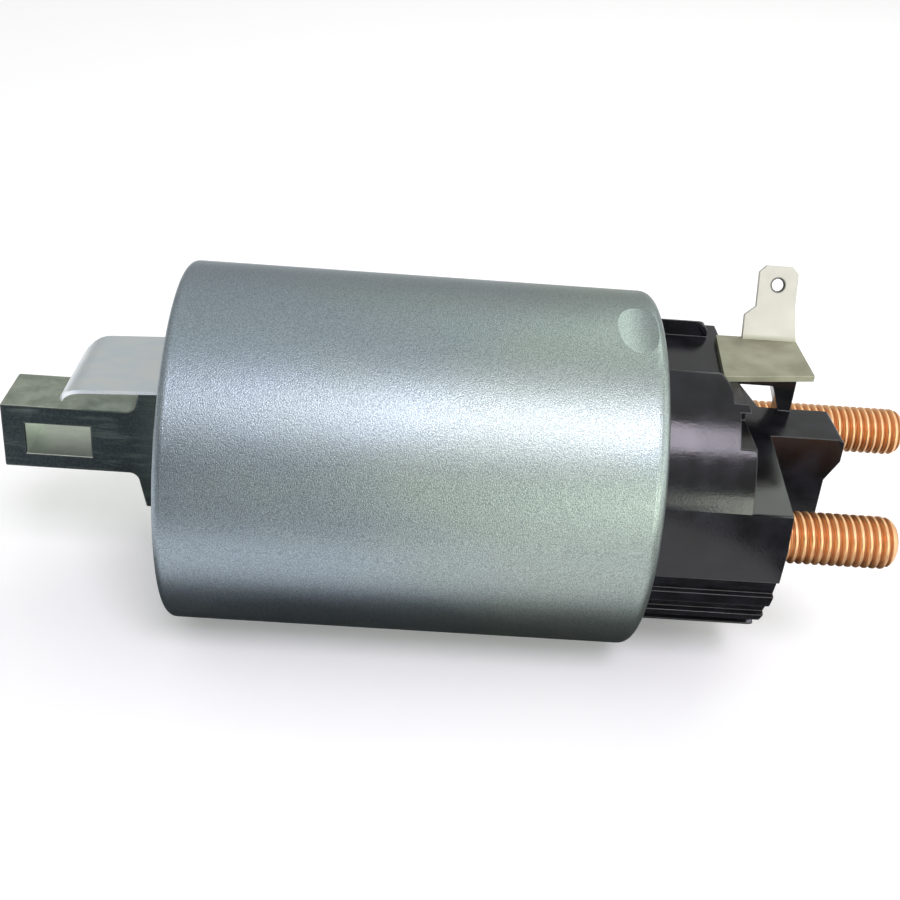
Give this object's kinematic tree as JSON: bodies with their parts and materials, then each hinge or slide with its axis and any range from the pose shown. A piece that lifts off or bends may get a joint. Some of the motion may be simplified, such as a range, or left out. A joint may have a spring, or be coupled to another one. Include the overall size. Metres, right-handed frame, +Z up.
{
  "type": "starter solenoid relay",
  "caption": "Round steel starter solenoid with a lever hook on its plunger and a black cap carrying two copper studs and a blade terminal",
  "frame": {"origin": "centre of the front mounting face of the can, on the axis of the plunger", "axes": "+X runs along the axis of the can from the mounting face towards the studs, +Z points up towards the blade terminal, the two studs stand side by side along Y with the shorter one at -Y"},
  "size_m": [0.1506, 0.057, 0.0605],
  "materials": {
    "can_steel": "zinc plated, sandy",
    "guard_steel": "smooth plated sheet",
    "plated_steel": "plated",
    "sleeve_brass": "drawn",
    "black_rubber": "moulded",
    "bobbin_nylon": "moulded",
    "winding_enamel": "enamelled copper wire",
    "winding_tape": "woven tape",
    "core_steel": "turned",
    "cap_moulding": "moulded thermoset",
    "stud_copper": "plain copper, threaded",
    "terminal_tin": "tin plated",
    "solder_tin": "solder",
    "plunger_steel": "turned and plated",
    "hook_steel": "dark milled bar",
    "spring_steel": "drawn wire"
  },
  "bodies": {
    "can": {"housing": "can_steel", "lever_guard": "guard_steel", "guard_rivets": "plated_steel", "guide_sleeve": "sleeve_brass", "front_cushion": "black_rubber", "bobbin": "bobbin_nylon", "pull_in_winding": "winding_enamel", "hold_in_winding": "winding_enamel", "winding_wrap": "winding_tape", "fixed_core": "core_steel", "core_plate": "core_steel", "cap_gasket": "black_rubber", "cap": "cap_moulding", "motor_stud": "stud_copper", "battery_stud": "stud_copper", "stud_seals": "black_rubber", "switch_terminal": "terminal_tin", "switch_lead": "winding_enamel", "switch_lead_solder": "solder_tin", "motor_lead": "winding_enamel", "return_spring": "spring_steel", "rod_spring": "spring_steel"},
    "plunger_unit": {"plunger": "plunger_steel", "hook": "hook_steel", "hook_pin": "plated_steel"},
    "rod_unit": {"contact_rod": "core_steel", "spring_seat": "plated_steel", "rod_clip": "spring_steel", "contact_spring": "spring_steel"},
    "contact_unit": {"contact_bush": "bobbin_nylon", "contact_disc": "stud_copper", "contact_washer": "bobbin_nylon"}
  },
  "joints": [
    {"name": "plunger_slide", "type": "slide", "parent": "can", "child": "plunger_unit", "axis": [1, 0, 0], "range_m": [0, 0.0095], "stiffness_N_per_m": 900, "springref_m": -0.006, "deforming": ["return_spring"]},
    {"name": "rod_slide", "type": "slide", "parent": "can", "child": "rod_unit", "axis": [1, 0, 0], "range_m": [0, 0.00285], "stiffness_N_per_m": 600, "springref_m": -0.003, "deforming": ["rod_spring"]},
    {"name": "contact_slide", "type": "slide", "parent": "rod_unit", "child": "contact_unit", "axis": [1, 0, 0], "range_m": [-0.00075, 0], "stiffness_N_per_m": 2500, "springref_m": 0.002, "deforming": ["contact_spring"]}
  ],
  "couplings": [
    {"joint": "rod_slide", "follows": "plunger_slide", "ratio": 0.3},
    {"joint": "contact_slide", "follows": "plunger_slide", "ratio": -0.0789}
  ]
}
